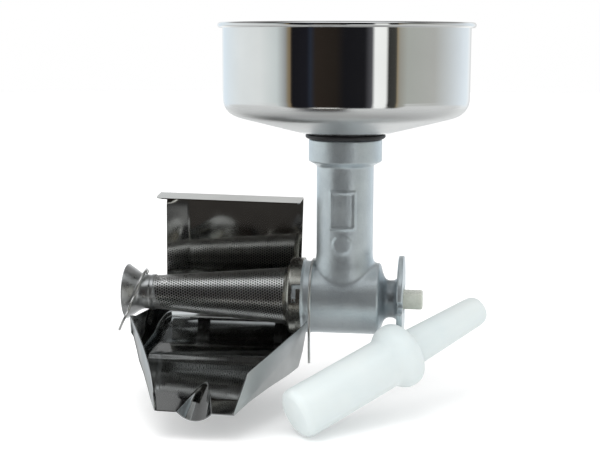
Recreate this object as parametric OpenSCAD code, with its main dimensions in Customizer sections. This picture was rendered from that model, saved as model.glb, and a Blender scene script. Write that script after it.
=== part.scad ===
// Motor-driven food mill: cast barrel with throat, polished hopper, perforated
// filter cone, auger, drip tray with splash guard, wire latches and pestle.
// Origin at the centre of the drive flange's outer face. +X points out of the
// flange towards the motor, +Y to the back of the machine, +Z up.

/* [Hopper] */
// Outer radius of the rolled rim
rim_r = 110; // [104:0.5:116]
// Height of the rim bead's centre above the barrel axis
rim_z = 237.6; // [225:0.1:250]
// Radius of the rolled rim bead
rim_bead_r = 2.35; // [1.8:0.05:3]
// Outer radius of the hopper wall
bowl_r = 105.9; // [100:0.1:107]
// Thickness of the hopper sheet
bowl_t = 0.8; // [0.6:0.1:1.2]
// Outer radius of the hopper's neck tube
hopper_neck_r = 26.1; // [25:0.1:26.1]

/* [Casting] */
// Distance from the flange face to the throat axis
throat_off = 52.6; // [50:0.1:58]
// Outer radius of the throat tube
throat_r = 24.8; // [24:0.1:26]
// Bore radius of the throat
throat_bore_r = 21.6; // [21.4:0.1:22]
// Outer radius of the collar at the throat's top
collar_r = 31.8; // [30:0.1:34]
// Height of the collar's top face
collar_top = 141; // [136:0.1:141]
// Outer radius of the barrel
barrel_r = 31.5; // [31:0.1:31.8]
// Bore radius of the barrel
barrel_bore_r = 27.2; // [27:0.1:28]
// Radius of the drive flange
flange_r = 38.3; // [36:0.1:38.3]
// Thickness of the drive flange
flange_t = 5; // [4:0.1:6]
// Width of the two open bolt notches in the flange
notch_w = 9.6; // [8:0.1:11]
// Radius of the waist between barrel and flange
waist_r = 16.5; // [15:0.1:18]

/* [Drive] */
// Side of the square drive end
square_w = 14; // [12:0.1:14.4]
// Length of the square drive end beyond the flange face
square_len = 16.6; // [12:0.1:20]
// Angle of the square about the shaft axis
square_turn = 6; // [0:1:45]
// Radius of the shaft's journal
shaft_r = 9; // [8:0.1:9]
// Pitch of the auger flight in the barrel
auger_pitch = 36; // [30:1:44]

/* [Filter] */
// Radius of the cone at its wide end
cone_r1 = 25.3; // [24.8:0.1:26]
// Radius of the cone at its narrow end
cone_r2 = 14.75; // [14.5:0.05:15.2]
// Length of the perforated cone
cone_len = 123.5; // [115:0.1:124]
// Thickness of the filter sheet
cone_t = 0.8; // [0.6:0.1:0.9]
// Outer radius of the base band
band_r = 34.6; // [34.5:0.1:34.7]
// Outer radius of the horn's mouth
horn_r = 24.7; // [22:0.1:26]

/* [Tray and guard] */
// Thickness of the tray and guard sheet
sheet_t = 0.9; // [0.8:0.1:1]
// Height of the splash guard's top above the barrel axis
guard_top = 84; // [78:0.5:86]
// Depth of the guard's forward-bent lip
guard_lip = 30; // [20:0.5:32]
// How far the strip at the guard's left edge is bent forward
guard_wing = 4; // [0:0.5:6]
// Lean of the guard's wall towards the front, in degrees
guard_lean = 15; // [0:1:20]
// Width of the tray's spout groove
spout_w = 28; // [24:0.5:30]

/* [Latches] */
// Radius of the latch wire
wire_r = 1.2; // [1:0.05:1.25]

/* [Pestle] */
// Radius of the pestle's thick end
pestle_r = 21.2; // [20.8:0.1:21.2]
// Radius of the pestle's collar
pestle_collar_r = 27.9; // [25:0.1:28.5]
// Length of the pestle
pestle_len = 202.7; // [190:0.1:206]

/* [Hidden] */
$fn = 96;

// stations along the barrel axis, measured from the throat axis
mouth_x = -44;          // open end of the casting's spigot
ring_x0 = -35;          // mouth ring
ring_x1 = -27;
barrel_x1 = 32;         // barrel's flange-side end
wall_x = 20;            // inner face of the bearing wall
flange_x0 = throat_off - flange_t;
cone_x1 = -50.4;        // wide end of the cone
cone_x2 = cone_x1 - cone_len;
horn_x = -196.7;        // horn's mouth
pin_x = -41.2;          // bayonet pins
pin_a = [-6, 174];      // their turn about the axis, from the front
spigot_r = band_r - 1.0 - 0.3;
bush_r = 11;
run = 0.06;             // running clearance of shaft and pins
tray_cx = -107.6;       // middle plane of the tray
tray_y1 = 40.9;         // inner face of the tray's back wall
guard_y = 39.6;         // front face of the splash guard
ear_y = 37;             // rear pivot of the right latch
ear_z = -4;
wire_rx = -27.4;        // plane of the right latch
gasket_r = 34.7;

// a solid of revolution about the X axis: the profile's x is the axial
// station and its y the radius
module turn_x() {
    rotate([0, 90, 0]) rotate_extrude() rotate([0, 0, 90]) mirror([0, 1, 0]) children();
}
// a cylinder along +X from station a to station b
module rod_x(r, a, b) { translate([a, 0, 0]) rotate([0, 90, 0]) cylinder(r = r, h = b - a); }
// everything below is placed from the throat axis
module at_throat() { translate([-throat_off, 0, 0]) children(); }
// a round wire swept through a list of points as one closed tube
function unit(v) = v / norm(v);
module wire(pts, r) {
    m = 10; n = len(pts);
    tan_ = [for (i = [0 : n - 1]) unit(i == 0 ? pts[1] - pts[0] : i == n - 1 ? pts[i] - pts[i - 1] : unit(pts[i + 1] - pts[i]) + unit(pts[i] - pts[i - 1]))];
    rings = [for (i = [0 : n - 1]) let (u = unit(cross(tan_[i], [1, 0, 0])), v = cross(tan_[i], u))
        for (j = [0 : m - 1]) pts[i] + r * (cos(360 * j / m) * u + sin(360 * j / m) * v)];
    sides = [for (i = [0 : n - 2]) for (j = [0 : m - 1]) let (k = (j + 1) % m) [i * m + j, (i + 1) * m + j, (i + 1) * m + k, i * m + k]];
    polyhedron(points = rings, faces = concat([[for (j = [0 : m - 1]) j]], sides, [[for (j = [m - 1 : -1 : 0]) (n - 1) * m + j]]));
}

module body_outer() {
    turn_x() polygon([
        [mouth_x, 0], [mouth_x, spigot_r - 0.5], [mouth_x + 0.5, spigot_r], [ring_x0, spigot_r], [ring_x0, spigot_r],
        [ring_x0 + 0.6, 31.9], [ring_x1 - 0.8, 31.9], [ring_x1, barrel_r],
        [barrel_x1 - 2, barrel_r], [barrel_x1 - 0.6, barrel_r - 0.6], [barrel_x1, barrel_r - 2],
        [barrel_x1 + 1.4, 24.5], [barrel_x1 + 3.2, 19.6], [barrel_x1 + 5, 17.4], [barrel_x1 + 7.2, waist_r],
        [flange_x0 - 4.4, waist_r], [flange_x0 - 2.4, waist_r + 0.8], [flange_x0 - 0.8, waist_r + 2.4], [flange_x0, waist_r + 5],
        [flange_x0, flange_r - 0.8], [flange_x0 + 0.8, flange_r], [throat_off - 0.8, flange_r], [throat_off, flange_r - 0.8],
        [throat_off, 0]]);
    // throat tube and collar
    rotate_extrude() polygon([
        [0, 0], [throat_r + 2.2, 0], [throat_r + 2.2, 30], [throat_r + 1.0, 33.5], [throat_r + 0.3, 37], [throat_r, 41],
        [throat_r, 117.9], [collar_r, 121.7], [collar_r, collar_top - 1], [collar_r - 1, collar_top], [0, collar_top]]);
}
module body_casting() {
    color([0.66, 0.70, 0.71]) at_throat() difference() {
        union() {
            intersection() {
                body_outer();
                // the tube's flare stays within the barrel's length
                translate([-60, -60, -60]) cube([60 + throat_off, 120, 260]);
            }
            // bare raised panel and round boss on the throat's front
            intersection() {
                difference() {
                    translate([-11.2, -30, 64.4]) cube([22.6, 30, 33]);
                    translate([-9.4, -31, 66.2]) cube([19, 32, 29.4]);
                }
                cylinder(r = throat_r + 0.9, h = 120);
            }
            intersection() {
                translate([0, 0, 51.3]) rotate([90, 0, 0]) cylinder(r = 8, h = 40);
                cylinder(r = throat_r + 0.9, h = 120);
            }
        }
        // barrel bore, open at the mouth
        rod_x(barrel_bore_r, mouth_x - 1, wall_x);
        // seal pocket, bush seat, flange recess
        rod_x(13, wall_x - 1, wall_x + 5);
        rod_x(bush_r, wall_x, throat_off - 4);
        rod_x(12.5, throat_off - 5, throat_off + 1);
        // throat bore and the hopper neck's socket
        cylinder(r = throat_bore_r, h = 160);
        translate([0, 0, 126]) cylinder(r = hopper_neck_r + 0.3, h = 30);
        // open bolt notches at the front and the back of the flange
        for (s = [-1, 1]) translate([flange_x0 - 1, 0, 0]) {
            translate([0, s * 30, 0]) rotate([0, 90, 0]) cylinder(r = notch_w / 2, h = flange_t + 2);
            translate([0, s > 0 ? 30 : -50, -notch_w / 2]) cube([flange_t + 2, 20, notch_w]);
        }
        // bayonet pin holes
        for (a = pin_a) rotate([a, 0, 0]) translate([pin_x, 0, 0]) rotate([90, 0, 0]) cylinder(r = 1.7, h = 60);
        // groove at the throat's foot where the wire latch lies
        difference() {
            rod_x(35.6, wire_rx - 1.8, wire_rx + 1.8);
            rod_x(31.7, wire_rx - 3, wire_rx + 3);
        }
    }
}
module throat_gasket() {
    color([0.09, 0.09, 0.09]) at_throat() rotate_extrude() polygon([
        [hopper_neck_r + 0.3, collar_top], [33.4, collar_top], [gasket_r - 0.2, 142.2], [gasket_r, 143.2], [gasket_r - 0.3, 144.6],
        [hopper_neck_r + 0.3, 142.4]]);
}
module shaft_bush() {
    color([0.80, 0.66, 0.38]) at_throat() difference() {
        rod_x(bush_r, wall_x + 5, throat_off - 5);
        rod_x(shaft_r + run, wall_x, throat_off);
    }
}
module shaft_seal() {
    color([0.1, 0.1, 0.1]) at_throat() difference() {
        rod_x(13, wall_x, wall_x + 5);
        rod_x(shaft_r + 0.1, wall_x - 1, wall_x + 6);
        translate([wall_x + 1.5, 0, 0]) rotate([0, 90, 0]) difference() {
            cylinder(r = 11.6, h = 5);
            translate([0, 0, -1]) cylinder(r = 10.2, h = 7);
        }
    }
}
module bayonet_pins() {
    color([0.75, 0.75, 0.75]) at_throat()
        for (a = pin_a) rotate([a, 0, 0]) translate([pin_x, 0, 0]) rotate([90, 0, 0])
            translate([0, 0, 28]) union() {
                cylinder(r = 1.7, h = 6.6);
                translate([0, 0, 6.6]) cylinder(r1 = 1.7, r2 = 1.2, h = 0.6);
            }
}

bowl_out = [[105.9, 176.5], [105.4, 172.2], [104.0, 168.2], [101.6, 164.8], [98.4, 162.2], [94.6, 160.4], [91.0, 159.3]];
module hopper_bowl() {
    k = bowl_r / 105.9;
    ri = rim_r - rim_bead_r;
    color([0.82, 0.83, 0.84]) at_throat() union() {
        rotate_extrude() polygon(concat(
            [[bowl_r, rim_z]], [for (p = bowl_out) [p[0] * k, p[1]]], [[gasket_r, 145], [hopper_neck_r - 0.2, 142.85]],
            [[hopper_neck_r - 0.2, 142.85 + bowl_t], [gasket_r, 145 + bowl_t]],
            [for (i = [len(bowl_out) - 1 : -1 : 0]) [bowl_out[i][0] * k - bowl_t * (1 - i / 6.2), bowl_out[i][1] + bowl_t * i / 6]],
            [[bowl_r - bowl_t, rim_z]]));
        // rolled rim
        difference() {
            rotate_extrude() translate([ri, rim_z]) circle(r = rim_bead_r, $fn = 32);
            rotate_extrude() translate([ri, rim_z]) circle(r = rim_bead_r - bowl_t, $fn = 32);
        }
    }
}
module hopper_neck() {
    color([0.78, 0.79, 0.80]) at_throat() difference() {
        union() {
            translate([0, 0, 127]) cylinder(r = hopper_neck_r, h = 16);
            // weld fillet inside the bowl
            translate([0, 0, 143]) cylinder(r1 = hopper_neck_r - 0.2, r2 = hopper_neck_r - 1.6, h = 2);
        }
        translate([0, 0, 120]) cylinder(r = throat_bore_r, h = 40);
        // chamfer at the bowl's outlet
        translate([0, 0, 143.2]) cylinder(r1 = throat_bore_r - 0.1, r2 = throat_bore_r + 2.2, h = 2.2);
    }
}

// radius of the filter's inner wall, and of the auger's flight inside it
function cone_in(x) = cone_r1 - cone_t + (cone_r2 - cone_r1) * (cone_x1 - x) / cone_len;
function flight_r(x) = x > -42.4 ? barrel_bore_r - 0.6 : x > -46.4 ? barrel_bore_r - 0.6 - (barrel_bore_r - 0.6 - cone_in(cone_x1) + 0.9) * (-42.4 - x) / 4 : min(cone_in(cone_x1), cone_in(x)) - 0.9;
function core_r(x) = x > -44 ? 15.6 : 15.6 - (15.6 - 8.2) * (-44 - x) / 124;
// flight stations: the pitch shortens from the barrel to the cone's tip
function flight_x(i, n) = let (u = i / n) (wall_x - 5) - u * (auger_pitch * 5.6 - (auger_pitch * 5.6 - 184) * u) ;
module auger_screw() {
    n = 168; turns = 5.6;
    x_end = -168;
    pts = [for (i = [0 : n]) let (x = max(x_end, flight_x(i, n)), a = -360 * turns * i / n, ri = core_r(x) - 0.6, ro = flight_r(x))
        for (q = [[ri, -2.3], [ri, 2.3], [ro, 1.1], [ro, -1.1]]) [x + q[1], q[0] * cos(a), q[0] * sin(a)]];
    sides = [for (i = [0 : n - 1]) for (j = [0 : 3]) let (k = (j + 1) % 4) [i * 4 + j, i * 4 + k, (i + 1) * 4 + k, (i + 1) * 4 + j]];
    color([0.16, 0.16, 0.17]) at_throat() difference() {
        union() {
            polyhedron(points = pts, faces = concat([[3, 2, 1, 0]], sides, [[n * 4, n * 4 + 1, n * 4 + 2, n * 4 + 3]]));
            turn_x() polygon([[wall_x - 2.2, 0], [wall_x - 2.2, 17.5], [wall_x - 7, 17.5], [wall_x - 9, 15.6], [-44, 15.6], [-168, 8.2], [-169.6, 7.2], [-170.4, 5.4], [-170.4, 0]]);
        }
        // socket for the shaft, pocket for the spring and the pin's hole
        rod_x(shaft_r, -24, wall_x + 1);
        rod_x(14, wall_x - 14, wall_x + 1);
        translate([-6, 0, 0]) rotate([90, 0, 0]) translate([0, 0, -30]) cylinder(r = 2.5, h = 60);
    }
}
module drive_shaft() {
    color([0.80, 0.78, 0.72]) at_throat() difference() {
        union() {
            rod_x(shaft_r, -24, throat_off - 1);
            intersection() {
                translate([throat_off - 1.001, 0, 0]) rotate([square_turn, 0, 0]) translate([0, -square_w / 2, -square_w / 2]) cube([square_len + 1, square_w, square_w]);
                // turned chamfer on the square's corners and end
                turn_x() polygon([[throat_off - 2, 0], [throat_off - 2, 9.6], [throat_off + square_len - 1.2, 9.6], [throat_off + square_len, 8.2], [throat_off + square_len, 0]]);
            }
        }
        translate([-6, 0, 0]) rotate([90, 0, 0]) translate([0, 0, -30]) cylinder(r = 2.5, h = 60);
        // centre-drill mark
        translate([throat_off + square_len - 2.4, 0, 0]) rotate([0, 90, 0]) cylinder(r1 = 0, r2 = 2.5, h = 2.5);
    }
}
module cross_pin() {
    color([0.7, 0.7, 0.72]) at_throat() translate([-6, 0, 0]) rotate([90, 0, 0]) translate([0, 0, -15.2]) cylinder(r = 2.5, h = 30.4);
}
module thrust_washer() {
    color([0.80, 0.62, 0.30]) at_throat() difference() {
        rod_x(13.4, wall_x - 2.2, wall_x - 0.2);
        rod_x(shaft_r, wall_x - 4, wall_x + 1);
    }
}
// a coil about the X axis
function coil_p(i, n, turns, r, x0, len) = [x0 + len * i / n, r * cos(360 * turns * i / n), r * sin(360 * turns * i / n)];
module thrust_spring() {
    n = 60; m = 8; r = 11.4; w = 0.9; turns = 3; x0 = wall_x - 13; len = 9.8;
    pts = [for (i = [0 : n]) let (a = 360 * turns * i / n) for (j = [0 : m - 1]) let (b = 360 * j / m)
        [x0 + len * i / n + w * sin(b), (r + w * cos(b)) * cos(a), (r + w * cos(b)) * sin(a)]];
    sides = [for (i = [0 : n - 1]) for (j = [0 : m - 1]) let (k = (j + 1) % m)
        [i * m + j, (i + 1) * m + j, (i + 1) * m + k, i * m + k]];
    color([0.72, 0.73, 0.75]) at_throat() polyhedron(points = pts, faces = concat([[for (j = [0 : m - 1]) j]], sides, [[for (j = [m - 1 : -1 : 0]) n * m + j]]));
}

module filter_cone() {
    color([0.55, 0.55, 0.56]) at_throat() turn_x() polygon([
        [cone_x1, cone_r1], [cone_x2, cone_r2], [cone_x2, cone_r2 - cone_t], [cone_x1, cone_r1 - cone_t]]);
}
module filter_base_band() {
    color([0.80, 0.80, 0.80]) at_throat() difference() {
        turn_x() polygon([
            [cone_x1 - 1.2, cone_r1 + 0.1], [cone_x1 - 1.2, cone_r1 + 0.9], [cone_x1 + 0.8, cone_r1 + 1.6], [cone_x1 + 1.8, cone_r1 + 3.4], [cone_x1 + 2.4, band_r - 3.2],
            [cone_x1 + 3.2, band_r - 1.2], [cone_x1 + 4.6, band_r - 0.2], [cone_x1 + 6.0, band_r], [-35.6, band_r],
            [-35.6, band_r - 1.0], [cone_x1 + 6.0, band_r - 1.0], [cone_x1 + 4.8, band_r - 1.6], [cone_x1 + 4.2, band_r - 3.2],
            [cone_x1 + 3.2, cone_r1 + 3.0], [cone_x1 + 2.2, cone_r1 - 0.4], [cone_x1, cone_r1 - cone_t], [cone_x1, cone_r1]]);
        // two J slots: an axial entry and a turn round the band
        for (a = pin_a) {
            rotate([a - 9.5, 0, 0]) translate([pin_x - 2.1, 0, 0]) rotate([0, 90, 0]) intersection() {
                difference() { cylinder(r = 37, h = 4.2); translate([0, 0, -1]) cylinder(r = 31.5, h = 7); }
                translate([0, 0, -1]) linear_extrude(height = 7) polygon([[0, 0], [40 * sin(13), -40 * cos(13)], [0, -44], [-40 * sin(13), -40 * cos(13)]]);
            }
            rotate([a - 20, 0, 0]) translate([pin_x - 1, -38, -2.1]) cube([13, 7, 4.2]);
        }
    }
}
horn_out = [[-173.9, 15.5], [-180, 15.5], [-183.2, 16.3], [-186.6, 18.2], [-190.2, 20.7], [-193.8, 22.9], [-196.0, 24.1]];
module filter_horn() {
    t = 0.9;
    color([0.80, 0.80, 0.80]) at_throat() union() {
        turn_x() polygon(concat(horn_out, [for (i = [len(horn_out) - 1 : -1 : 0]) [horn_out[i][0] - (i > 1 ? 0.35 : 0), horn_out[i][1] - t]]));
        // sleeve over the cone's narrow end
        turn_x() polygon([[-170.5, cone_r2 + 0.27], [-170.5, 15.9], [-174.1, 15.9], [-174.1, cone_r2 - cone_t], [-173.9, cone_r2 - cone_t], [-173.9, cone_r2 + 0.02]]);
        // rolled edge of the mouth
        translate([horn_x + 1.0, 0, 0]) rotate([0, 90, 0]) rotate_extrude() translate([horn_r - 1.0, 0]) circle(r = 1.0, $fn = 24);
    }
}

// trough line under the filter, front crease first: [y, z] of its upper face
trough = [[-46.4, -51.4], [-37, -47], [-28, -45.2], [-16, -43.2], [-4, -41.6], [12, -38.4], [26, -34.6], [35, -30.6], [39.4, -26], [tray_y1, -20], [tray_y1, -8]];
conv = 25;                                   // convergence of the front walls
half_w = 78.9;                               // half width of the tray at y = -32
wall_y = -32;                                // where the front walls begin
// heights along y: right floor edge, left floor, left wall's foot, width of the left turn-up
right_z = [[-131.4, -68.7], [-112, -62.8], [-86, -58], [-58, -54.2], [-45, -51.4]];
left_z = [[-131.4, -67.2], [-45, -50.8]];
foot_z = [[-131.4, -67], [-120, -62.6], [-109, -55.8], [-94, -49.2], [-73, -43.2], [-62, -35.8], [-50, -29], [-45, -26]];
turn_w = [[-131.4, 2], [-120, 4], [-109, 6], [-94, 7.5], [-73, 8.5], [-62, 10], [-45, 11.8]];
spout_x = -107.4; spout_d = 6.6;
function left_x(y) = tray_cx - half_w - (y - wall_y) * tan(conv);
function right_x(y) = tray_cx + half_w + (y - wall_y) * tan(conv) - sheet_t * 0.6;
// depth of the spout groove: a fan that widens and deepens towards the lip, round across
function groove(x, y) = let (v = max(0, (-80 - y) / 51.4), q = abs(x - spout_x) / (spout_w * (0.12 + 0.88 * v) / 2))
    q >= 1 ? 0 : spout_d * pow(v, 1.25) * (sqrt(1.5 * 1.5 - q * q) - sqrt(1.5 * 1.5 - 1)) / (1.5 - sqrt(1.5 * 1.5 - 1));
function floor_z(x, y) = let (xl = left_x(y) + 0.5, w = lookup(y, turn_w), zl = lookup(y, left_z), zr = lookup(y, right_z),
        base = zl + (zr - zl) * (x - xl) / (right_x(y) - xl), q = min(1, max(0, (x - xl) / w)))
    base + max(0, lookup(y, foot_z) - base) * pow(1 - q, 1.7) - groove(x, y);
function floor_u(y) = let (xl = left_x(y) + 0.5, xi = xl + lookup(y, turn_w), g0 = spout_x - spout_w / 2, g1 = spout_x + spout_w / 2, xr = right_x(y))
    concat([for (i = [0 : 5]) xl + (xi - xl) * i / 5], [for (i = [1 : 3]) xi + (g0 - xi) * i / 3], [for (i = [1 : 12]) g0 + (g1 - g0) * i / 12], [for (i = [1 : 4]) g1 + (xr - g1) * i / 4]);
floor_ys = [for (i = [0 : 17]) -45.2 - 86.2 * i / 17];
module tray_floor() {
    n = len(floor_ys); rows = [for (y = floor_ys) floor_u(y)]; m = len(rows[0]);
    top = [for (i = [0 : n - 1]) for (x = rows[i]) [x, floor_ys[i], floor_z(x, floor_ys[i])]];
    bot = [for (p = top) p - [0, 0, sheet_t]];
    N = n * m;
    polyhedron(points = concat(top, bot), faces = concat(
        [for (i = [0 : n - 2]) for (j = [0 : m - 2]) [i * m + j, i * m + j + 1, (i + 1) * m + j]],
        [for (i = [0 : n - 2]) for (j = [0 : m - 2]) [i * m + j + 1, (i + 1) * m + j + 1, (i + 1) * m + j]],
        [for (i = [0 : n - 2]) for (j = [0 : m - 2]) [N + i * m + j, N + (i + 1) * m + j, N + i * m + j + 1]],
        [for (i = [0 : n - 2]) for (j = [0 : m - 2]) [N + i * m + j + 1, N + (i + 1) * m + j, N + (i + 1) * m + j + 1]],
        [for (j = [0 : m - 2]) [j, N + j, N + j + 1, j + 1]],
        [for (j = [0 : m - 2]) let (k = (n - 1) * m) [k + j, k + j + 1, N + k + j + 1, N + k + j]],
        [for (i = [0 : n - 2]) [i * m, (i + 1) * m, N + (i + 1) * m, N + i * m]],
        [for (i = [0 : n - 2]) let (k = m - 1) [(i + 1) * m + k, i * m + k, N + i * m + k, N + (i + 1) * m + k]]));
}
// a front wall in its own vertical plane, from its outline in [y, z]
module front_wall(side, yz) {
    translate([tray_cx + side * half_w, wall_y, 0]) rotate([0, 0, -side * conv]) translate([side > 0 ? -sheet_t : 0, 0, 0])
        rotate([90, 0, 90]) linear_extrude(height = sheet_t) polygon([for (p = yz) [(p[0] - wall_y) / cos(conv), p[1]]]);
}
right_yz = concat([[-32, -14.7], [-44, -19], [-58, -23], [-113, -39], [-131.6, -67.4]],
    [for (p = right_z) [p[0] - 0.2, p[1] - sheet_t - 0.1]], [[-39, -40], [-35, -27]]);
left_yz = concat([[-32, -14.7], [-60, -20], [-90, -27], [-110, -35.5], [-120, -45], [-127, -53.5], [-130.6, -60], [-131.6, -65.5]],
    [for (p = foot_z) [p[0] - 0.2, p[1] - sheet_t - 0.1]], [[-38, -22], [-32, -18.5]]);
// the left end leans in from the front corner to the trough: x on its plane
end_n = cross([18, -14, -35.7], [18, 73, -9]);
function end_x(y, z) = -186.5 - (end_n[1] * (y + 32) + end_n[2] * (z + 15)) / end_n[0];
module drip_tray() {
    t = sheet_t;
    m = len(trough);
    low = [for (i = [m - 1 : -1 : 0]) [trough[i][0] + (i > 6 ? t * min(1, (i - 6) / 3) : 0), trough[i][1] - (i < m - 2 ? t : 0)]];
    color([0.62, 0.63, 0.64]) at_throat() union() {
        front_wall(1, right_yz);
        front_wall(-1, left_yz);
        tray_floor();
        // trough and back wall, trimmed to the leaning left end
        difference() {
            translate([-188, 0, 0]) rotate([90, 0, 90]) linear_extrude(height = 160) polygon(concat(trough, low));
            multmatrix([[1, -end_n[1] / end_n[0], -end_n[2] / end_n[0], -186.5 + 0.1 + sheet_t - (end_n[1] * 32 + end_n[2] * 15) / end_n[0]], [0, 1, 0, 0], [0, 0, 1, 0]])
                translate([-60, -80, -80]) cube([60, 160, 100]);
            translate([0, 0, -80]) linear_extrude(height = 90) polygon([[-42, 44], [-37.2, -47], [-20, -47], [-20, 44]]);
        }
    }
}
module tray_saddle_left() {
    t = sheet_t;
    yz = concat([[-45.4, -26.3], [-32.4, -15.4], [-24, -17], [8, -17], [tray_y1 + 0.6, -8]], [for (i = [len(trough) - 2 : -1 : 1]) trough[i] - [i > 6 ? -0.6 : 0, i > 6 ? 0 : 0.6]], [[-45.6, -51]]);
    n = len(yz);
    color([0.62, 0.63, 0.64]) at_throat() difference() {
        polyhedron(points = concat([for (p = yz) [end_x(p[0], p[1]) + 0.1, p[0], p[1]]], [for (p = yz) [end_x(p[0], p[1]) + 0.1 + t, p[0], p[1]]]),
            faces = concat([[for (i = [n - 1 : -1 : 0]) i]], [[for (i = [0 : n - 1]) n + i]], [for (i = [0 : n - 1]) let (k = (i + 1) % n) [i, k, n + k, n + i]]));
        rod_x(16.0, -190, -160);
    }
}
module tray_saddle_right() {
    m = len(trough);
    color([0.62, 0.63, 0.64]) at_throat() difference() {
        translate([-41.4, 0, 0]) rotate([90, 0, 90]) linear_extrude(height = sheet_t)
            polygon(concat([[-46, -34], [-38, -30], [0, -30], [30, -12], [tray_y1, -8]], [for (i = [m - 2 : -1 : 0]) trough[i]]));
        rod_x(band_r + 1.2, -60, -20);
    }
}
// small ears at the back of the tray that carry the latch pivots
module latch_ears() {
    y = tray_y1 + sheet_t;
    color([0.70, 0.70, 0.70]) at_throat() difference() {
        union() {
            // right ear: strap from the back wall's corner to the pivot plate
            translate([-52, y, -16]) cube([23, 1.4, 8]);
            translate([-31, ear_y - 2.6, -16]) cube([2, y + 1.4 - ear_y + 2.6, 15]);
            // left ear
            translate([-184, y, -16]) cube([22, 1.4, 8]);
            translate([-184, 21, -16]) cube([2, y + 1.4 - 21, 15]);
        }
        translate([-40, ear_y, ear_z]) rotate([0, 90, 0]) cylinder(r = wire_r + 0.08, h = 20);
        translate([-190, 26, ear_z]) rotate([0, 90, 0]) cylinder(r = wire_r + 0.08, h = 20);
    }
}
// U-shaped clips on the tray's back wall that hold the guard's lower edge
module guard_clips() {
    color([0.70, 0.70, 0.70]) at_throat() for (x = [-144, -70])
        translate([x, 0, 0]) rotate([90, 0, 90]) linear_extrude(height = 12) polygon([
            [guard_y - 1.3, -13.6], [guard_y - 1.3, -6], [guard_y - 0.3, -6], [guard_y - 0.3, -12.6], [tray_y1, -12.6], [tray_y1, -13.6]]);
}
module tray_rivets() {
    color([0.75, 0.75, 0.75]) at_throat() {
        for (x = [-46, -169.5]) translate([x, tray_y1 + sheet_t + 1.4, -12]) rotate([-90, 0, 0]) cylinder(r1 = 2.6, r2 = 1.6, h = 1.1);
        for (x = [-138, -64]) translate([x, tray_y1 + sheet_t, -16]) rotate([-90, 0, 0]) cylinder(r1 = 2.4, r2 = 1.5, h = 1.0);
    }
}
module splash_guard() {
    t = sheet_t;
    wall_h = (guard_top + 2.7 + 5) / cos(guard_lean);       // leaning wall, from its bend above the clips
    top_y = guard_y - wall_h * sin(guard_lean);
    plan = [[-36, 0], [-147, 0], [-172, -guard_wing], [-172.2, t - guard_wing], [-147.2, t], [-36, t]];
    color([0.62, 0.63, 0.64]) at_throat() union() {
        intersection() {
            // wall seen from above, with the strip at its left bent forward a little:
            // upright in the clips, then leaning forward over the cone
            union() {
                translate([0, guard_y, -12]) linear_extrude(height = 7.2) polygon(plan);
                translate([0, guard_y, -5]) rotate([guard_lean, 0, 0]) linear_extrude(height = wall_h) polygon(plan);
            }
            translate([0, guard_y + t + 1, 0]) rotate([90, 0, 0]) linear_extrude(height = 48)
                polygon([[-162.6, guard_top + 2.9], [-169.1, -5], [-169.4, -12], [-44.4, -12], [-44.0, -5], [-38.6, guard_top + 0.7]]);
        }
        // lip bent forward and slightly down, wider than the wall at its left, its front corners cut
        translate([-103, top_y + 0.5, guard_top + 1.7]) rotate([3, 1.0, 0]) translate([0, -guard_lip, 0]) linear_extrude(height = t)
            polygon([[-65.0, guard_lip + 0.3], [-63.4, 4.6], [-59.2, 0.6], [-56.6, 0], [63.2, 0], [64.6, 2], [64.6, guard_lip + 0.3]]);
    }
}
// wire latches: pivot end in the rear ear, bail over the top, hook at the front
module right_wire_latch() {
    x = wire_rx; r = 33.4;
    color([0.78, 0.78, 0.78]) at_throat() union() {
        translate([0, ear_y, ear_z]) rod_x(wire_r, -32.6, x + 0.4);
        wire(concat(
            [[x, ear_y, ear_z - 0.8], [x, ear_y, 1], [x, ear_y - 1.6, 6]],
            [for (a = [20 : 12 : 188]) [x, r * cos(a), r * sin(a)]],
            [[x + 0.3, -33.6, -8], [x + 0.5, -35.6, -15], [x + 0.7, -38.4, -19.5], [x + 0.8, -39.2, -25], [x + 0.9, -38.6, -49.5]]), wire_r);
    }
}
module left_wire_latch() {
    // the bail leans: low at the front it stands further out than at the top
    lean = 17; r = 19.2; x = -185.8;
    color([0.78, 0.78, 0.78]) at_throat() union() {
        translate([0, 26, ear_z]) rod_x(wire_r, x - 1.4, -180.4);
        wire(concat(
            [[x, 26, ear_z - 0.8], [x, 26, 4], [x, 25.4, 13.4], [x + 1.2, 20.6, 16.2]],
            [for (a = [58 : 15 : 178]) [-179.5 - (r - r * sin(a)) * tan(lean), r * cos(a), r * sin(a)]],
            [[-187.6, -24.4, -6], [-189.4, -27.4, -12.5], [-190.6, -30.8, -16], [-192.4, -31.8, -19.4], [-196.6, -30.4, -28.2]]), wire_r);
    }
}

module pestle() {
    k = pestle_len / 202.7;
    color([0.90, 0.92, 0.91]) at_throat() translate([-28.66, -114.94, -72.63]) rotate([0, 0, 39.64]) rotate([0, 71.28, 0])
        rotate_extrude() polygon([
            [0, 0], [16.6, 0], [18.8, 0.8], [20.4, 2.4], [pestle_r, 5], [pestle_r, 94 * k], [22.6, 96.4 * k], [24.8, 99.2 * k], [26.9, 102.4 * k], [pestle_collar_r, 105.8 * k],
            [pestle_collar_r, 111 * k], [26.4, 114.4 * k], [23.4, 117.2 * k], [18, 119.4 * k], [15.8, 121.6 * k], [13.2, 193.6 * k], [12.2, 198 * k], [9.6, 201.4 * k], [6, 202.7 * k], [0, 202.7 * k]]);
}

body_casting();
throat_gasket();
shaft_bush();
shaft_seal();
bayonet_pins();
hopper_bowl();
hopper_neck();
auger_screw();
drive_shaft();
cross_pin();
thrust_washer();
thrust_spring();
filter_cone();
filter_base_band();
filter_horn();
drip_tray();
tray_saddle_left();
tray_saddle_right();
latch_ears();
guard_clips();
tray_rivets();
splash_guard();
left_wire_latch();
right_wire_latch();
pestle();
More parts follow.
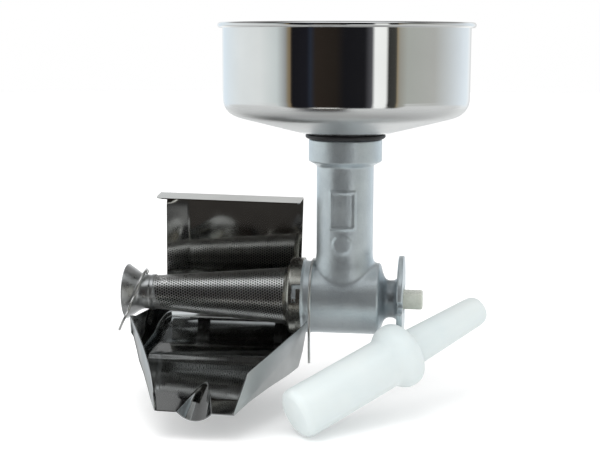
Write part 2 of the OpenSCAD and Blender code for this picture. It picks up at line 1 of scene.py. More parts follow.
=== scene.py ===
import bpy, bmesh, math
from math import sin, cos, tan, radians, degrees, pi, sqrt, atan2, hypot
from mathutils import Vector, Matrix


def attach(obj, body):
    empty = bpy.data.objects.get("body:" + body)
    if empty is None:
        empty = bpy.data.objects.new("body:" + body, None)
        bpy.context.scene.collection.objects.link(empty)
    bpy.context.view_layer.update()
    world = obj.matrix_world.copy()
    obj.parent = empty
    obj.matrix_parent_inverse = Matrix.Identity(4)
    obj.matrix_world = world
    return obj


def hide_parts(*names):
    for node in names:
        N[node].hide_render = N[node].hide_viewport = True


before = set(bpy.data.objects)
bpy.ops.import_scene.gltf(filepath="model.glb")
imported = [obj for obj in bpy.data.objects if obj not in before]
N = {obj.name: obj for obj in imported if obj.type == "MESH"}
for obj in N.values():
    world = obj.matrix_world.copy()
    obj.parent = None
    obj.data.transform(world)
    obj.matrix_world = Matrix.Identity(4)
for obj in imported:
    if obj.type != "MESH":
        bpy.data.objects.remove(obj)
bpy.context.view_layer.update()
scene = bpy.context.scene
OFF = 52.6                      # throat axis to flange face, mm


def M(x, y, z):
    """A point measured from the throat axis in mm, as a row-frame point in metres."""
    return ((x - OFF) * 1e-3, y * 1e-3, z * 1e-3)


# ---------------------------------------------------------------- materials
def new_mat(name):
    m = bpy.data.materials.new(name)
    m.use_nodes = True
    nt = m.node_tree
    b = nt.nodes["Principled BSDF"]
    return m, nt, b


def node(nt, kind, **kw):
    n = nt.nodes.new(kind)
    for k, v in kw.items():
        if k.startswith("i_"):
            n.inputs[k[2:].replace("_", " ")].default_value = v
        else:
            setattr(n, k, v)
    return n


def ramp(nt, stops, interp="LINEAR"):
    r = nt.nodes.new("ShaderNodeValToRGB")
    cr = r.color_ramp
    cr.interpolation = interp
    while len(cr.elements) > 1:
        cr.elements.remove(cr.elements[-1])
    cr.elements[0].position = stops[0][0]
    cr.elements[0].color = tuple(stops[0][1]) + (1,)
    for p, c in stops[1:]:
        e = cr.elements.new(p)
        e.color = tuple(c) + (1,)
    return r


def coords(nt, scale=(1, 1, 1)):
    tc = nt.nodes.new("ShaderNodeTexCoord")
    mp = nt.nodes.new("ShaderNodeMapping")
    mp.inputs["Scale"].default_value = scale
    nt.links.new(tc.outputs["Object"], mp.inputs["Vector"])
    return mp.outputs["Vector"]


def noise(nt, vec, scale, detail=2.0, rough=0.5):
    n = nt.nodes.new("ShaderNodeTexNoise")
    n.inputs["Scale"].default_value = scale
    n.inputs["Detail"].default_value = detail
    n.inputs["Roughness"].default_value = rough
    nt.links.new(vec, n.inputs["Vector"])
    return n.outputs["Fac"]


def to_range(nt, fac, lo, hi, a=0.3, b=0.7):
    r = nt.nodes.new("ShaderNodeMapRange")
    r.inputs["From Min"].default_value = a
    r.inputs["From Max"].default_value = b
    r.inputs["To Min"].default_value = lo
    r.inputs["To Max"].default_value = hi
    nt.links.new(fac, r.inputs["Value"])
    return r.outputs["Result"]


def bump(nt, height, strength, dist, prev=None):
    b = nt.nodes.new("ShaderNodeBump")
    b.inputs["Strength"].default_value = strength
    b.inputs["Distance"].default_value = dist
    nt.links.new(height, b.inputs["Height"])
    if prev is not None:
        nt.links.new(prev, b.inputs["Normal"])
    return b.outputs["Normal"]


def metal(name, c0, c1, r0, r1, scale=60, stretch=(1, 1, 1), grain=None, wave=None, metallic=1.0):
    """Metal whose tint and roughness drift a little. grain: (scale, stretch, strength, dist) of fine polishing
    lines. wave: (scale, strength, dist) of the slow unevenness of sheet."""
    m, nt, b = new_mat(name)
    v = coords(nt, stretch)
    n1 = noise(nt, v, scale, 3)
    rp = ramp(nt, [(0.3, c0), (0.7, c1)])
    nt.links.new(n1, rp.inputs["Fac"])
    nt.links.new(rp.outputs["Color"], b.inputs["Base Color"])
    n2 = noise(nt, v, scale * 2.7, 4, 0.6)
    nt.links.new(to_range(nt, n2, r0, r1), b.inputs["Roughness"])
    b.inputs["Metallic"].default_value = metallic
    nrm = None
    if wave:
        nrm = bump(nt, noise(nt, coords(nt), wave[0], 1.5), wave[1], wave[2])
    if grain:
        nrm = bump(nt, noise(nt, coords(nt, grain[1]), grain[0], 4, 0.7), grain[2], grain[3], nrm)
    if nrm is not None:
        nt.links.new(nrm, b.inputs["Normal"])
    return m


def casting_paint():
    m, nt, b = new_mat("cast_silver_paint")
    v = coords(nt)
    n1 = noise(nt, v, 55, 4, 0.6)
    rp = ramp(nt, [(0.28, (0.58, 0.645, 0.68)), (0.5, (0.64, 0.705, 0.735)), (0.75, (0.70, 0.765, 0.79))])
    nt.links.new(n1, rp.inputs["Fac"])
    # fine flake sparkle in the paint
    vo = nt.nodes.new("ShaderNodeTexVoronoi")
    vo.inputs["Scale"].default_value = 1500
    nt.links.new(v, vo.inputs["Vector"])
    fl = nt.nodes.new("ShaderNodeMix")
    fl.data_type = "RGBA"
    fl.blend_type = "MIX"
    fl.inputs[7].default_value = (0.86, 0.90, 0.92, 1)
    nt.links.new(rp.outputs["Color"], fl.inputs[6])
    nt.links.new(to_range(nt, vo.outputs["Distance"], 0.34, 0.0, 0.05, 0.5), fl.inputs[0])
    # painted shade: the turned waist behind the flange is darkened in the base colour, standing in for the shade in
    # that recess
    sp = nt.nodes.new("ShaderNodeSeparateXYZ")
    nt.links.new(v, sp.inputs[0])
    w1 = to_range(nt, sp.outputs["X"], 0.0, 1.0, -0.0215, -0.0165)
    w2 = to_range(nt, sp.outputs["X"], 1.0, 0.0, -0.0075, -0.0045)
    waist_shade_mask = nt.nodes.new("ShaderNodeMath")
    waist_shade_mask.operation = "MULTIPLY"
    nt.links.new(w1, waist_shade_mask.inputs[0])
    nt.links.new(w2, waist_shade_mask.inputs[1])
    # mix towards dark grey: the painted shade of the waist
    waist_shade_mix = nt.nodes.new("ShaderNodeMix")
    waist_shade_mix.data_type = "RGBA"
    waist_shade_mix.inputs[7].default_value = (0.36, 0.395, 0.42, 1)
    nt.links.new(fl.outputs[2], waist_shade_mix.inputs[6])
    nt.links.new(to_range(nt, waist_shade_mask.outputs[0], 0.0, 0.8, 0.0, 1.0), waist_shade_mix.inputs[0])
    nt.links.new(waist_shade_mix.outputs[2], b.inputs["Base Color"])
    nt.links.new(to_range(nt, noise(nt, v, 140, 4, 0.65), 0.30, 0.44), b.inputs["Roughness"])
    b.inputs["Metallic"].default_value = 0.86
    b.inputs["Coat Weight"].default_value = 0.15
    b.inputs["Coat Roughness"].default_value = 0.2
    # rough casting under the paint
    n = bump(nt, noise(nt, v, 190, 3, 0.55), 0.30, 0.0006)
    n = bump(nt, noise(nt, v, 620, 3, 0.65), 0.70, 0.0003, n)
    nt.links.new(n, b.inputs["Normal"])
    return m


def plastic(name, c0, c1, r0, r1, scale=40, sss=0.0, sss_r=0.004, coat=0.0, bump_s=0.05, bump_scale=500):
    m, nt, b = new_mat(name)
    v = coords(nt)
    rp = ramp(nt, [(0.3, c0), (0.7, c1)])
    nt.links.new(noise(nt, v, scale, 3), rp.inputs["Fac"])
    nt.links.new(rp.outputs["Color"], b.inputs["Base Color"])
    nt.links.new(to_range(nt, noise(nt, v, scale * 5, 3), r0, r1), b.inputs["Roughness"])
    if sss:
        b.inputs["Subsurface Weight"].default_value = sss
        b.inputs["Subsurface Radius"].default_value = (1.0, 0.95, 0.9)
        b.inputs["Subsurface Scale"].default_value = sss_r
    b.inputs["Coat Weight"].default_value = coat
    b.inputs["Coat Roughness"].default_value = 0.15
    nt.links.new(bump(nt, noise(nt, v, bump_scale, 3), bump_s, 0.0002), b.inputs["Normal"])
    return m


MAT = {}
MAT["cast_body"] = casting_paint()
MAT["hopper"] = metal("hopper_polished_steel", (0.80, 0.805, 0.80), (0.86, 0.865, 0.86), 0.02, 0.05, 18,
                      grain=(260, (1, 1, 14), 0.018, 0.0001), wave=(9, 0.05, 0.002))


def satin_below(m, z0, z1, r):
    """The spun base of the bowl is satin, the wall above it is a mirror."""
    nt = m.node_tree
    b = nt.nodes["Principled BSDF"]
    old = b.inputs["Roughness"].links[0].from_socket
    sp = nt.nodes.new("ShaderNodeSeparateXYZ")
    nt.links.new(coords(nt), sp.inputs[0])
    f = to_range(nt, sp.outputs["Z"], 1.0, 0.0, z0, z1)
    # round the neck it is a mirror again
    ve = nt.nodes.new("ShaderNodeCombineXYZ")
    ax = nt.nodes.new("ShaderNodeMath")
    ax.operation = "ADD"
    ax.inputs[1].default_value = OFF / 1000.0
    nt.links.new(sp.outputs["X"], ax.inputs[0])
    nt.links.new(ax.outputs[0], ve.inputs[0])
    nt.links.new(sp.outputs["Y"], ve.inputs[1])
    ln = nt.nodes.new("ShaderNodeVectorMath")
    ln.operation = "LENGTH"
    nt.links.new(ve.outputs[0], ln.inputs[0])
    fr = to_range(nt, ln.outputs["Value"], 0.0, 1.0, 0.040, 0.050)
    fm_ = nt.nodes.new("ShaderNodeMath")
    fm_.operation = "MULTIPLY"
    nt.links.new(f, fm_.inputs[0])
    nt.links.new(fr, fm_.inputs[1])
    f = fm_.outputs[0]
    mx_ = nt.nodes.new("ShaderNodeMix")
    mx_.data_type = "FLOAT"
    nt.links.new(f, mx_.inputs[0])
    nt.links.new(old, mx_.inputs[2])
    mx_.inputs[3].default_value = r
    nt.links.new(mx_.outputs[0], b.inputs["Roughness"])


satin_below(MAT["hopper"], 0.1680, 0.1750, 0.40)
MAT["filter_sheet"] = metal("filter_perforated_steel", (0.70, 0.70, 0.685), (0.82, 0.82, 0.80), 0.27, 0.32, 90,
                            wave=(45, 0.10, 0.0006))
MAT["filter_band"] = metal("filter_band_steel", (0.40, 0.395, 0.36), (0.52, 0.515, 0.48), 0.20, 0.32, 60,
                           grain=(700, (1, 0.12, 0.12), 0.06, 0.0001), wave=(55, 0.12, 0.0008))
MAT["filter_horn"] = metal("filter_horn_satin_steel", (0.56, 0.57, 0.57), (0.68, 0.69, 0.69), 0.26, 0.38, 60,
                           grain=(700, (1, 0.12, 0.12), 0.06, 0.0001), wave=(40, 0.15, 0.001))
MAT["tray_sheet"] = metal("tray_polished_sheet", (0.44, 0.45, 0.45), (0.54, 0.55, 0.55), 0.05, 0.12, 30,
                          grain=(420, (0.25, 1, 1), 0.04, 0.0001), wave=(22, 0.16, 0.0016))
MAT["tray_satin"] = metal("tray_satin_outside", (0.46, 0.47, 0.47), (0.54, 0.55, 0.55), 0.30, 0.42, 30,
                          grain=(420, (0.25, 1, 1), 0.10, 0.0001), wave=(22, 0.10, 0.0012))
MAT["guard_sheet"] = metal("guard_polished_sheet", (0.44, 0.44, 0.425), (0.54, 0.54, 0.52), 0.05, 0.12, 30,
                           grain=(420, (1, 1, 0.15), 0.04, 0.0001), wave=(20, 0.12, 0.0012))
MAT["wire"] = metal("latch_spring_wire", (0.76, 0.755, 0.74), (0.88, 0.875, 0.86), 0.26, 0.38, 220,
                    grain=(1500, (1, 1, 1), 0.05, 0.0001))
MAT["steel"] = metal("satin_steel", (0.50, 0.50, 0.50), (0.64, 0.64, 0.63), 0.22, 0.36, 120,
                     grain=(900, (1, 1, 0.3), 0.08, 0.0001))
MAT["bronze"] = metal("bush_bronze", (0.58, 0.37, 0.16), (0.70, 0.48, 0.24), 0.24, 0.38, 120)
MAT["gasket"] = plastic("gasket_rubber", (0.010, 0.010, 0.011), (0.022, 0.022, 0.025), 0.40, 0.58, 90, bump_s=0.15)
MAT["nylon"] = plastic("auger_black_plastic", (0.012, 0.012, 0.013), (0.022, 0.022, 0.023), 0.45, 0.6, 40)
MAT["drive_end"] = plastic("drive_end_offwhite", (0.57, 0.595, 0.52), (0.65, 0.675, 0.60), 0.22, 0.34, 70, sss=0.05, coat=0.6)
MAT["pestle"] = plastic("pestle_white_plastic", (0.655, 0.72, 0.725), (0.70, 0.75, 0.745), 0.30, 0.42, 26, sss=0.30,
                        sss_r=0.008, coat=0.08, bump_s=0.03, bump_scale=160)


def paint(ob, slot):
    ob.data.materials.clear()
    ob.data.materials.append(MAT[slot])


# ---------------------------------------------------------------- mesh tools
def make(name, verts, faces, slot, body, rep=(), angle=38, recalc=True, weld=None):
    me = bpy.data.meshes.new(name)
    me.from_pydata(verts, [], faces)
    ob = bpy.data.objects.new(name, me)
    scene.collection.objects.link(ob)
    bm = bmesh.new()
    bm.from_mesh(me)
    if weld:
        bmesh.ops.remove_doubles(bm, verts=bm.verts, dist=weld)
    if recalc:
        bmesh.ops.recalc_face_normals(bm, faces=bm.faces)
    bm.to_mesh(me)
    bm.free()
    ob["mk"] = [slot, body] + list(rep)
    ob["ang"] = float(angle)
    return ob


def bake(ob, mods=()):
    """Applies modifiers, shades smooth with sharp edges by angle, and hangs the piece on its body."""
    for kind, kw in mods:
        md = ob.modifiers.new(kind.lower(), kind)
        for k, v in kw.items():
            setattr(md, k, v)
    if mods:
        dg = bpy.context.evaluated_depsgraph_get()
        ev = ob.evaluated_get(dg)
        me = bpy.data.meshes.new_from_object(ev)
        ob.modifiers.clear()
        old = ob.data
        ob.data = me
        bpy.data.meshes.remove(old)
    bm = bmesh.new()
    bm.from_mesh(ob.data)
    lim = radians(ob["ang"])
    for f in bm.faces:
        f.smooth = True
    for e in bm.edges:
        if len(e.link_faces) == 2 and e.calc_face_angle(0.0) > lim:
            e.smooth = False
    bm.to_mesh(ob.data)
    bm.free()
    mk = list(ob["mk"])
    paint(ob, mk[0])
    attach(ob, mk[1])
    if len(mk) > 2:
        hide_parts(*mk[2:])
    return ob


def lathe(name, prof, axis, slot, body, rep=(), segs=192, angle=38, phase=0.0):
    """Closed profile [(station, radius)] turned about the barrel's X axis or the throat's Z axis."""
    n = len(prof)
    verts, faces = [], []
    for i in range(segs):
        a = 2 * pi * (i + phase) / segs
        for s, r in prof:
            if axis == "x":
                verts.append(M(s, -r * cos(a), r * sin(a)))
            else:
                verts.append(M(r * cos(a), r * sin(a), s))
    for i in range(segs):
        k = (i + 1) % segs
        for j in range(n):
            l = (j + 1) % n
            faces.append((i * n + j, i * n + l, k * n + l, k * n + j))
    ob = make(name, verts, faces, slot, body, rep, angle, weld=1e-7)
    return ob


def arc(cx, cy, r, a0, a1, n):
    return [(cx + r * cos(radians(a0 + (a1 - a0) * i / n)), cy + r * sin(radians(a0 + (a1 - a0) * i / n))) for i in range(n + 1)]


def spline(pts, step):
    """Centripetal Catmull-Rom through points, sampled about every step."""
    P = [Vector(p) for p in pts]
    P = [P[0] * 2 - P[1]] + P + [P[-1] * 2 - P[-2]]
    out = []
    for i in range(1, len(P) - 2):
        p0, p1, p2, p3 = P[i - 1], P[i], P[i + 1], P[i + 2]
        t = [0.0]
        for a, b in ((p0, p1), (p1, p2), (p2, p3)):
            t.append(t[-1] + max(1e-6, (b - a).length) ** 0.5)
        n = max(1, int(round((p2 - p1).length / step)))
        for k in range(n):
            u = t[1] + (t[2] - t[1]) * k / n
            A1 = p0 * ((t[1] - u) / (t[1] - t[0])) + p1 * ((u - t[0]) / (t[1] - t[0]))
            A2 = p1 * ((t[2] - u) / (t[2] - t[1])) + p2 * ((u - t[1]) / (t[2] - t[1]))
            A3 = p2 * ((t[3] - u) / (t[3] - t[2])) + p3 * ((u - t[2]) / (t[3] - t[2]))
            B1 = A1 * ((t[2] - u) / (t[2] - t[0])) + A2 * ((u - t[0]) / (t[2] - t[0]))
            B2 = A2 * ((t[3] - u) / (t[3] - t[1])) + A3 * ((u - t[1]) / (t[3] - t[1]))
            out.append(B1 * ((t[2] - u) / (t[2] - t[1])) + B2 * ((u - t[1]) / (t[2] - t[1])))
    out.append(P[-2])
    return out


def tube(pts, r, m=16):
    """Verts and faces of a round wire with domed ends, from points in mm."""
    P = [Vector(p) for p in pts]
    T = []
    for i in range(len(P)):
        a = P[max(0, i - 1)]
        b = P[min(len(P) - 1, i + 1)]
        T.append((b - a).normalized())
    ref = Vector((1, 0, 0))
    if abs(T[0].dot(ref)) > 0.9:
        ref = Vector((0, 1, 0))
    u = T[0].cross(ref).normalized()
    rings = []
    for k in range(4):
        a = radians(90 * (3 - k) / 3.0 * 0.92)
        rings.append((P[0] - T[0] * r * sin(a) * 0.8, T[0], r * cos(a)))
    for i in range(1, len(P) - 1):
        rings.append((P[i], T[i], r))
    for k in range(4):
        a = radians(90 * k / 3.0 * 0.92)
        rings.append((P[-1] + T[-1] * r * sin(a) * 0.8, T[-1], r * cos(a)))
    verts, faces = [], []
    for c, t, rr in rings:
        u = (u - t * u.dot(t)).normalized()
        v = t.cross(u)
        for j in range(m):
            a = 2 * pi * j / m
            q = c + (u * cos(a) + v * sin(a)) * rr
            verts.append(M(*q))
    for i in range(len(rings) - 1):
        for j in range(m):
            k = (j + 1) % m
            faces.append((i * m + j, i * m + k, (i + 1) * m + k, (i + 1) * m + j))
    faces.append(tuple(range(m - 1, -1, -1)))
    b0 = (len(rings) - 1) * m
    faces.append(tuple(b0 + j for j in range(m)))
    return verts, faces


def joined(*parts):
    V, F = [], []
    for v, f in parts:
        o = len(V)
        V += v
        F += [tuple(i + o for i in q) for q in f]
    return V, F


def lookup(t, table):
    """table: [(t, value)] in rising t."""
    if t <= table[0][0]:
        return table[0][1]
    for (a, va), (b, vb) in zip(table, table[1:]):
        if t <= b:
            return va + (vb - va) * (t - a) / (b - a)
    return table[-1][1]


# ---------------------------------------------------------------- hopper
R_WALL, T_SH = 105.9, 0.8
low = [(105.9, 176.5), (105.4, 172.2), (104.0, 168.2), (101.6, 164.8), (98.4, 162.2), (94.6, 160.4), (91.0, 159.3)]
lowc = [tuple(p)[:2] for p in spline([(a, b, 0) for a, b in low], 0.6)]
out = [(R_WALL, 236.0), (R_WALL, 226), (R_WALL, 210), (R_WALL, 195), (R_WALL, 185), (R_WALL, 179)] + lowc
out += [(91 - (91 - 34.7) * k / 8, 159.3 - (159.3 - 145) * k / 8) for k in range(1, 9)] + [(30, 143.9), (25.9, 142.85)]
inn = [(25.9, 143.65), (30, 144.7)] + [(34.7 + (91 - 34.7) * k / 8, 145.8 + (160.1 - 145.8) * k / 8) for k in range(0, 9)]
for i in range(len(lowc) - 2, -1, -1):
    x0, z0 = lowc[min(i + 1, len(lowc) - 1)]
    x1, z1 = lowc[max(i - 1, 0)]
    d = hypot(x1 - x0, z1 - z0)
    nx, nz = (z1 - z0) / d, -(x1 - x0) / d
    inn.append((lowc[i][0] - nx * T_SH, lowc[i][1] - nz * T_SH))
inn += [(R_WALL - T_SH, 179), (R_WALL - T_SH, 195), (R_WALL - T_SH, 215), (R_WALL - T_SH, 236.2)]
bead = arc(107.65, 237.6, 2.35, 152, -138, 22)
prof = [(z, r) for r, z in (inn + [(p[0], p[1]) for p in bead] + out)]
hop = lathe("hopper_bowl_polished", prof, "z", "hopper", "hopper", ["hopper_bowl"], segs=288, angle=50)
bake(hop)
paint(N["hopper_neck"], "steel")

# ---------------------------------------------------------------- gasket
gp = [(26.4, 141.05), (32.2, 141.05), (33.3, 141.3), (34.2, 141.9), (34.65, 142.7), (34.7, 143.3), (34.6, 144.0), (34.3, 144.5),
      (33.6, 144.55), (31, 143.75), (26.4, 142.5)]
bake(lathe("throat_gasket_rubber", [(z, r) for r, z in gp], "z", "gasket", "mill", ["throat_gasket"], segs=128))


# ---------------------------------------------------------------- casting
def casting():
    src = N["body_casting"]
    ob = bpy.data.objects.new("casting_painted", src.data.copy())
    scene.collection.objects.link(ob)
    ob.parent = None
    bm = bmesh.new()
    bm.from_mesh(ob.data)
    bmesh.ops.remove_doubles(bm, verts=bm.verts, dist=2e-6)
    bm.to_mesh(ob.data)
    bm.free()
    for key in [k for k in ob.data.attributes.keys() if k.startswith("custom")]:
        ob.data.attributes.remove(ob.data.attributes[key])
    ob["mk"] = ["cast_body", "mill", "body_casting"]
    ob["ang"] = 60.0
    for kind, kw in (("REMESH", dict(mode="VOXEL", voxel_size=0.00072, adaptivity=0.0)),):
        md = ob.modifiers.new("remesh", kind)
        for k, v in kw.items():
            setattr(md, k, v)
    me = bpy.data.meshes.new_from_object(ob.evaluated_get(bpy.context.evaluated_depsgraph_get()))
    ob.modifiers.clear()
    ob.data = me
    # soft cast fillet where the tube grows out of the barrel
    g = ob.vertex_groups.new(name="foot")
    for v in me.vertices:
        x, y, z = v.co.x * 1e3 + OFF, v.co.y * 1e3, v.co.z * 1e3
        rt = hypot(x, y)
        if 8 < z < 46 and 21.5 < rt < 40 and -24.6 < x < 29.0 and hypot(y, z) > 29.5:
            wz = min(1.0, (z - 8) / 6, (46 - z) / 8)
            wx = min(1.0, (x + 24.6) / 2.5, (29.0 - x) / 2.0)
            g.add([v.index], max(0.0, min(wz, wx)), "REPLACE")
    g2 = ob.vertex_groups.new(name="body")
    g2.add([v.index for v in me.vertices if v.co.x < -0.0085], 1.0, "REPLACE")
    bake(ob, [("SMOOTH", dict(factor=0.5, iterations=1)), ("SMOOTH", dict(factor=0.5, iterations=6, vertex_group="body")),
              ("SMOOTH", dict(factor=0.5, iterations=70, vertex_group="foot"))])
    return ob


casting()
for n in ("shaft_bush", "thrust_washer"):
    paint(N[n], "bronze")
paint(N["shaft_seal"], "gasket")
for n in ("bayonet_pins", "cross_pin", "thrust_spring", "latch_ears", "guard_clips", "tray_rivets"):
    paint(N[n], "steel")
paint(N["auger_screw"], "nylon")


# ---------------------------------------------------------------- drive end
def drive_end():
    w, turn, rc = 7.0, radians(6), 0.85
    x0, x1 = 51.6, OFF + 16.6
    ring = []
    for q in range(4):
        cx, cy = [(w - rc, w - rc), (-w + rc, w - rc), (-w + rc, -w + rc), (w - rc, -w + rc)][q]
        for k in range(7):
            a = radians(90 * q + 90 * k / 6.0)
            ring.append((cx + rc * cos(a), cy + rc * sin(a)))
    st = [(x0, 1.0), (x0 + 2, 1.0), (x1 - 6, 1.0), (x1 - 2.2, 1.0), (x1 - 1.4, 0.985), (x1 - 0.7, 0.945), (x1 - 0.2, 0.88), (x1, 0.80)]
    V, F = [], []
    m = len(ring)
    for x, s in st:
        for y, z in ring:
            yy, zz = y * s, z * s
            V.append(M(x, yy * cos(turn) - zz * sin(turn), yy * sin(turn) + zz * cos(turn)))
    for i in range(len(st) - 1):
        for j in range(m):
            k = (j + 1) % m
            F.append((i * m + j, i * m + k, (i + 1) * m + k, (i + 1) * m + j))
    F.append(tuple(range(m)))
    # end face with a centre-drill dimple
    b0 = (len(st) - 1) * m
    c0 = len(V)
    for rr, dx in ((2.4, 0.0), (1.2, -1.2), (0.1, -2.2)):
        for j in range(m):
            a = radians(90 * (j // 7) + 90 * (j % 7) / 6.0 * 0.97)
            V.append(M(x1 + dx, rr * cos(a + turn), rr * sin(a + turn)))
    for s0, s1 in ((b0, c0), (c0, c0 + m), (c0 + m, c0 + 2 * m)):
        for j in range(m):
            k = (j + 1) % m
            F.append((s0 + j, s0 + k, s1 + k, s1 + j))
    F.append(tuple(c0 + 2 * m + j for j in range(m)))
    # the journal inside the bush
    seg = 64
    o = len(V)
    pr = [(-24, 0.4), (-24, 8.4), (-23.4, 9.0), (52.0, 9.0), (52.0, 0.4)]
    for i in range(seg):
        a = 2 * pi * i / seg
        for s, r in pr:
            V.append(M(s, r * cos(a), r * sin(a)))
    n = len(pr)
    for i in range(seg):
        k = (i + 1) % seg
        for j in range(n):
            l = (j + 1) % n
            F.append((o + i * n + j, o + i * n + l, o + k * n + l, o + k * n + j))
    ob = make("drive_square_end", V, F, "drive_end", "auger", ["drive_shaft"], angle=30)
    return bake(ob)


drive_end()


# ---------------------------------------------------------------- filter
CX1, CX2, CR1, CR2 = -50.4, -173.9, 25.3, 14.75


def filter_cone():
    """Perforated sheet laid out flat as a hexagonal lattice, cut to the developed cone and rolled up."""
    L = CX1 - CX2
    sl = hypot(L, CR1 - CR2)
    sb, cb = (CR1 - CR2) / sl, L / sl
    rho1, rho2 = CR1 / sb, CR2 / sb
    amax = pi * sb
    p, hr = 2.46, 0.87
    beta = radians(8.0)                                                 # the rows run askew to the cone's axis
    lo, hi = rho2 + 2.2, rho1 - 0.8
    verts, faces = [], []
    outer = [(p / sqrt(3) if k % 2 == 0 else p / 2) for k in range(12)]
    um = (lo + hi) / 2
    half = hypot((hi - lo * cos(amax)) / 2 + 4, rho1 * sin(amax) + 3)
    nc = int(half / (p * sqrt(3) / 2)) + 1
    for col in range(-nc, nc + 1):
        u = col * p * sqrt(3) / 2
        w = -half + (p / 2 if col % 2 else 0)
        while w < half:
            x = um + u * cos(beta) - w * sin(beta)
            y = u * sin(beta) + w * cos(beta)
            r_, a_ = hypot(x, y), atan2(y, x)
            if x > 0 and lo - 1.8 < r_ < hi + 1.8 and abs(a_) < amax + 1.8 / r_:
                o = len(verts)
                for k in range(12):
                    a = radians(30 * k) + beta
                    verts.append((x + outer[k] * cos(a), y + outer[k] * sin(a), 0))
                for k in range(12):
                    a = radians(30 * k) + beta
                    verts.append((x + hr * cos(a), y + hr * sin(a), 0))
                for k in range(12):
                    l = (k + 1) % 12
                    faces.append((o + k, o + l, o + 12 + l, o + 12 + k))
            w += p
    bm = bmesh.new()
    vs = [bm.verts.new((hypot(v[0], v[1]), atan2(v[1], v[0]) * 200.0, 0)) for v in verts]
    for f in faces:
        bm.faces.new([vs[i] for i in f])
    bmesh.ops.remove_doubles(bm, verts=bm.verts, dist=0.02)
    for co, no in (((lo, 0, 0), (-1, 0, 0)), ((hi, 0, 0), (1, 0, 0)), ((0, amax * 200, 0), (0, 1, 0)), ((0, -amax * 200, 0), (0, -1, 0))):
        geom = bm.verts[:] + bm.edges[:] + bm.faces[:]
        bmesh.ops.bisect_plane(bm, geom=geom, dist=1e-4, plane_co=co, plane_no=no, clear_outer=True)
    for v in bm.verts:
        rho, al = v.co.x, v.co.y / 200.0
        th = al / sb
        r = rho * sb
        x = CX1 - (rho1 - rho) * cb
        v.co = M(x, -r * cos(th), r * sin(th))
    bmesh.ops.recalc_face_normals(bm, faces=bm.faces)
    me = bpy.data.meshes.new("filter_cone_perforated")
    bm.to_mesh(me)
    bm.free()
    # normals must point outward for the sheet's thickness to go inward
    f = me.polygons[len(me.polygons) // 2]
    c = f.center
    if Vector((0, c.y, c.z)).dot(f.normal) < 0:
        me.flip_normals()
    ob = bpy.data.objects.new("filter_cone_perforated", me)
    scene.collection.objects.link(ob)
    ob["mk"] = ["filter_sheet", "filter", "filter_cone"]
    ob["ang"] = 40.0
    bake(ob, [("SOLIDIFY", dict(thickness=0.00034, offset=-1.0))])
    # plain margins at both ends, and the welded seam at the back
    def rad(rho):
        return rho * sb
    def stx(rho):
        return CX1 - (rho1 - rho) * cb
    for nm, a, b in (("filter_margin_wide", hi - 0.05, rho1), ("filter_margin_narrow", rho2, lo + 0.05)):
        pr = [(stx(a), rad(a) + 0.02), (stx(b), rad(b) + 0.02), (stx(b), rad(b) - 0.8), (stx(a), rad(a) - 0.8)]
        bake(lathe(nm, pr, "x", "filter_sheet", "filter", segs=128))
    V, F = [], []
    na = 5
    for i in range(26):
        rho = rho2 + (rho1 - rho2) * i / 25
        r = rad(rho)
        for j in range(na):
            th = pi + (j - 2) * 0.9 / r
            rr = r + (0.28 if j in (1, 2, 3) else 0.0)
            V.append(M(stx(rho), -rr * cos(th), rr * sin(th)))
        for j in range(na):
            th = pi + (2 - j) * 0.9 / r
            V.append(M(stx(rho), -(r - 0.4) * cos(th), (r - 0.4) * sin(th)))
    m = 2 * na
    for i in range(25):
        for j in range(m):
            k = (j + 1) % m
            F.append((i * m + j, i * m + k, (i + 1) * m + k, (i + 1) * m + j))
    F.append(tuple(range(m)))
    F.append(tuple(25 * m + j for j in range(m)))
    bake(make("filter_seam", V, F, "filter_band", "filter", angle=60))


filter_cone()

horn_o = [(-173.9, 15.5), (-180, 15.5), (-183.2, 16.3), (-186.6, 18.2), (-190.2, 20.7), (-193.8, 22.9), (-196.0, 24.1)]
ho = [(p[0], p[1]) for p in spline([(a, b, 0) for a, b in horn_o], 0.7)]
hi_ = [(x, r - 0.85) for x, r in reversed(ho)]
roll = arc(-196.2, 24.0, 0.62, 60, 260, 8)
sleeve = [(-170.6, 14.98), (-170.45, 15.3), (-170.6, 15.75), (-171.0, 15.92), (-173.4, 15.92), (-173.9, 15.75)]
pr = sleeve + ho[1:] + roll + hi_[1:] + [(-173.9, 14.0)]
horn = bake(lathe("filter_horn_polished", pr, "x", "filter_band", "filter", ["filter_horn"], segs=144, angle=45))
horn.data.materials[0] = MAT["filter_horn"]
paint(N["filter_base_band"], "filter_band")

# ---------------------------------------------------------------- tray
TCX, HW, WY, CONV, TS = -107.6, 78.9, -32.0, radians(25), 0.9
SPX, SPW, SPD = -107.4, 28.0, 6.6
trough = [(-46.4, -51.4), (-37, -47), (-28, -45.2), (-16, -43.2), (-4, -41.6), (12, -38.4), (26, -34.6), (35, -30.6), (39.4, -26), (40.9, -20), (40.9, -8)]
right_t = [(-131.4, -68.7), (-112, -62.8), (-86, -58), (-58, -54.2), (-45, -51.4)]
left_t = [(-131.4, -67.2), (-45, -50.8)]
foot_t = [(-131.4, -67), (-120, -62.6), (-109, -55.8), (-94, -49.2), (-73, -43.2), (-62, -35.8), (-50, -29), (-45, -26)]
turn_t = [(-131.4, 2), (-120, 4), (-109, 6), (-94, 7.5), (-73, 8.5), (-62, 10), (-45, 11.8)]


def left_x(y):
    return TCX - HW - (y - WY) * tan(CONV)


def right_x(y):
    return TCX + HW + (y - WY) * tan(CONV) - TS * 0.6


def groove(x, y):
    v = max(0.0, (-80 - y) / 51.4)
    q = abs(x - SPX) / (SPW * (0.12 + 0.88 * v) / 2)
    if q >= 1:
        return 0.0
    return SPD * v ** 1.25 * (sqrt(2.25 - q * q) - sqrt(1.25)) / (1.5 - sqrt(1.25))


